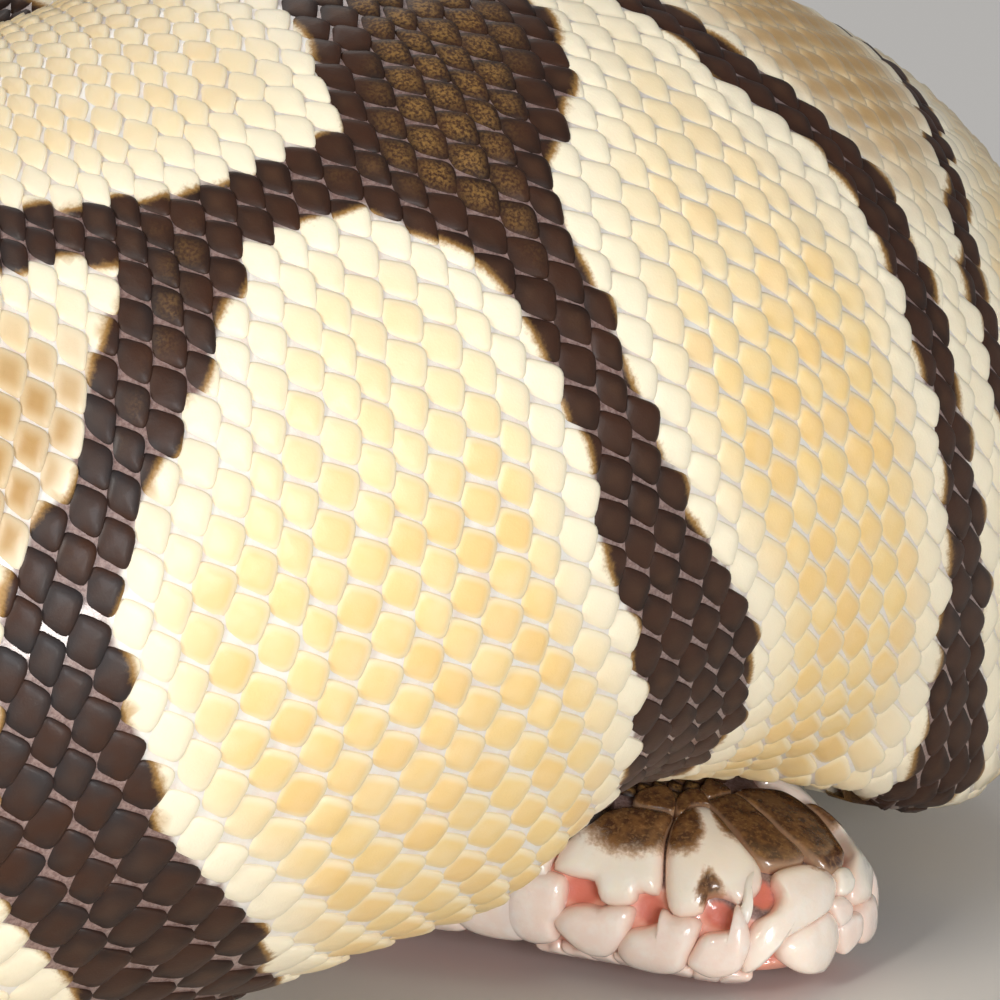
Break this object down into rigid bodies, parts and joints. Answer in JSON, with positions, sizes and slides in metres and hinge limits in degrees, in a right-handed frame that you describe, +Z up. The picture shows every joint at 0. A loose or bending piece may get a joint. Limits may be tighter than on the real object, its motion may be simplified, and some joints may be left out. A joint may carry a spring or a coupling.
{
  "type": "coiled ball python",
  "caption": "Life-size still model of a ball python resting in a tight pile of coils, its snout showing from under one coil.",
  "frame": {"origin": "on the floor, under the middle of the whole coiled animal", "axes": "+Z up from the floor; +X along the length of the front coil towards the side where the snout shows; -Y towards the front coil"},
  "size_m": [0.1956, 0.1759, 0.073],
  "materials": {
    "skin": "smooth glossy scales, cream and yellow with dark brown bands",
    "head_skin": "glossy pinkish cream plates with a brown crown",
    "eye": "wet dark eye under a clear scale"
  },
  "bodies": {
    "root": {"head": "head_skin", "lower_jaw": "head_skin", "eye_left": "eye", "eye_right": "eye", "neck": "skin", "trunk_1": "skin", "trunk_2": "skin", "trunk_3": "skin", "trunk_4": "skin", "trunk_5": "skin", "trunk_6": "skin", "trunk_7": "skin", "trunk_8": "skin", "trunk_9": "skin", "tail": "skin"}
  },
  "joints": []
}
